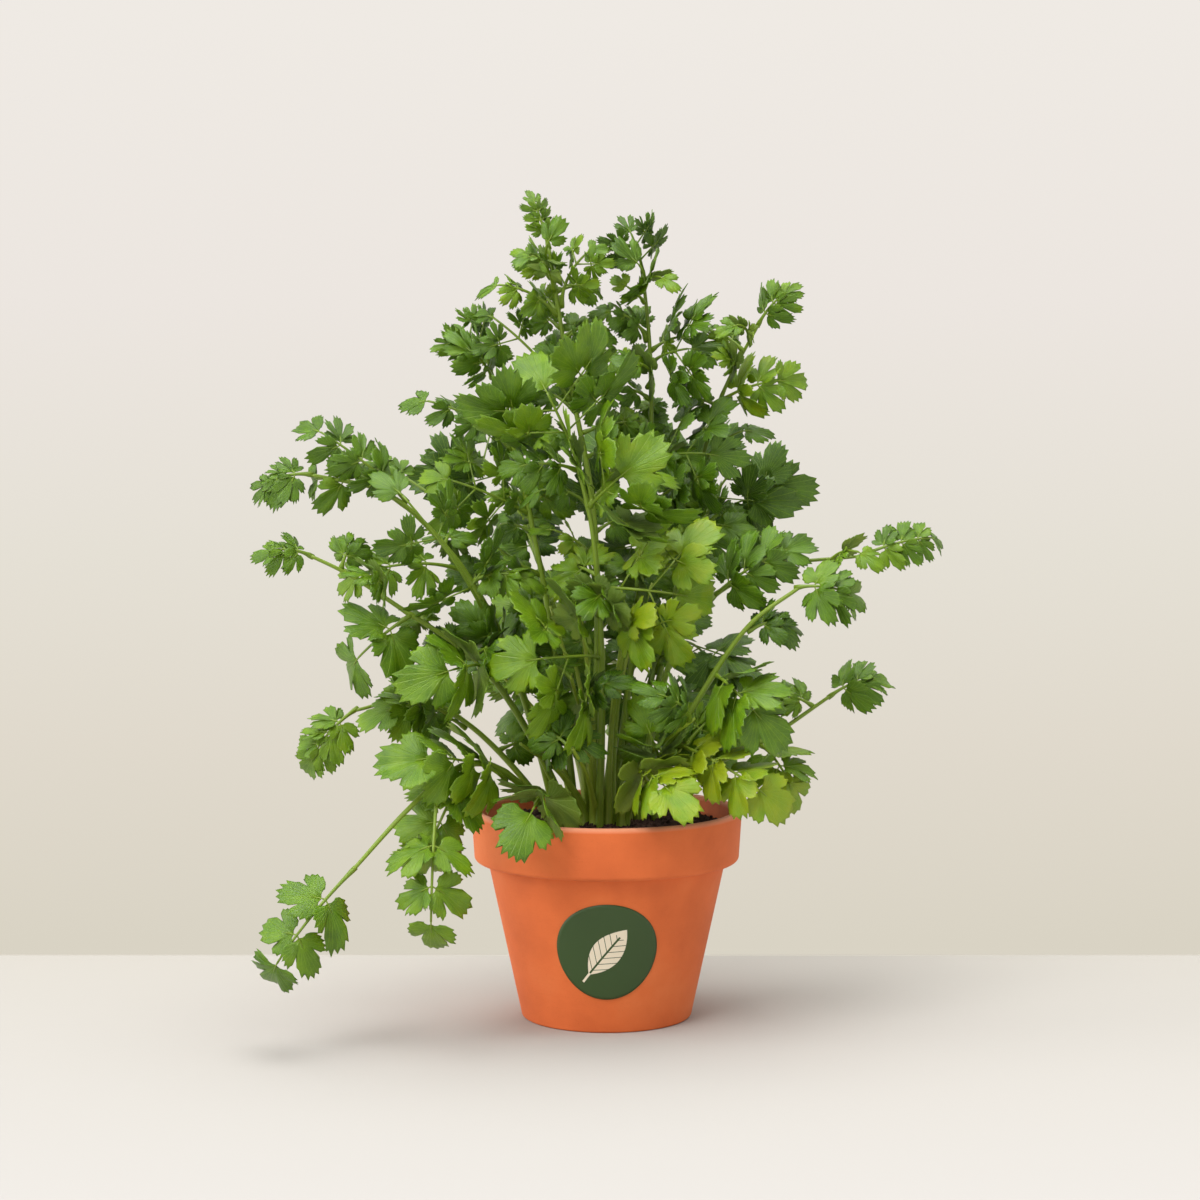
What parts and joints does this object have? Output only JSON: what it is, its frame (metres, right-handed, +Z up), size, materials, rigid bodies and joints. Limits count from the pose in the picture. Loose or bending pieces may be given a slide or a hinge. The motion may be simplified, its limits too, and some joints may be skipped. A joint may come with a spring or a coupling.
{
  "type": "potted coriander",
  "caption": "Bushy coriander plant with long arching stems and toothed fan-shaped leaflets, growing in compost in a terracotta pot with a thick rim.",
  "frame": {"origin": "on the pot's axis at the plane that the pot stands on, under the middle of the whole plant's box", "axes": "+Z up along the pot's axis; -Y is the front, where the round sticker is; +X is to the right seen from the front"},
  "size_m": [0.3766, 0.2304, 0.4574],
  "materials": {
    "terracotta": "matte",
    "compost": "matte",
    "sticker": "satin",
    "stem": "satin",
    "leaf": "satin"
  },
  "bodies": {
    "root": {"pot": "terracotta", "soil": "compost", "label": "sticker", "stem_01": "stem", "stem_02": "stem", "stem_03": "stem", "stem_04": "stem", "stem_05": "stem", "stem_06": "stem", "stem_07": "stem", "stem_08": "stem", "stem_09": "stem", "stem_10": "stem", "stem_11": "stem", "stem_12": "stem", "stem_13": "stem", "stem_14": "stem", "leaf_01": "leaf", "leaf_02": "leaf", "leaf_03": "leaf", "leaf_04": "leaf", "leaf_05": "leaf", "leaf_06": "leaf", "leaf_07": "leaf", "leaf_08": "leaf", "leaf_09": "leaf", "leaf_10": "leaf", "leaf_11": "leaf", "leaf_12": "leaf", "leaf_13": "leaf", "leaf_14": "leaf", "leaf_15": "leaf", "leaf_16": "leaf", "leaf_17": "leaf", "leaf_18": "leaf", "leaf_19": "leaf", "leaf_20": "leaf", "leaf_21": "leaf", "leaf_22": "leaf", "leaf_23": "leaf", "leaf_24": "leaf", "leaf_25": "leaf", "leaf_26": "leaf", "leaf_27": "leaf", "leaf_28": "leaf", "leaf_29": "leaf", "leaf_30": "leaf", "leaf_31": "leaf", "leaf_32": "leaf", "leaf_33": "leaf", "leaf_34": "leaf", "leaf_35": "leaf", "leaf_36": "leaf", "leaf_37": "leaf", "leaf_38": "leaf", "leaf_39": "leaf", "leaf_40": "leaf", "leaf_41": "leaf", "leaf_42": "leaf", "leaf_43": "leaf"}
  },
  "joints": []
}
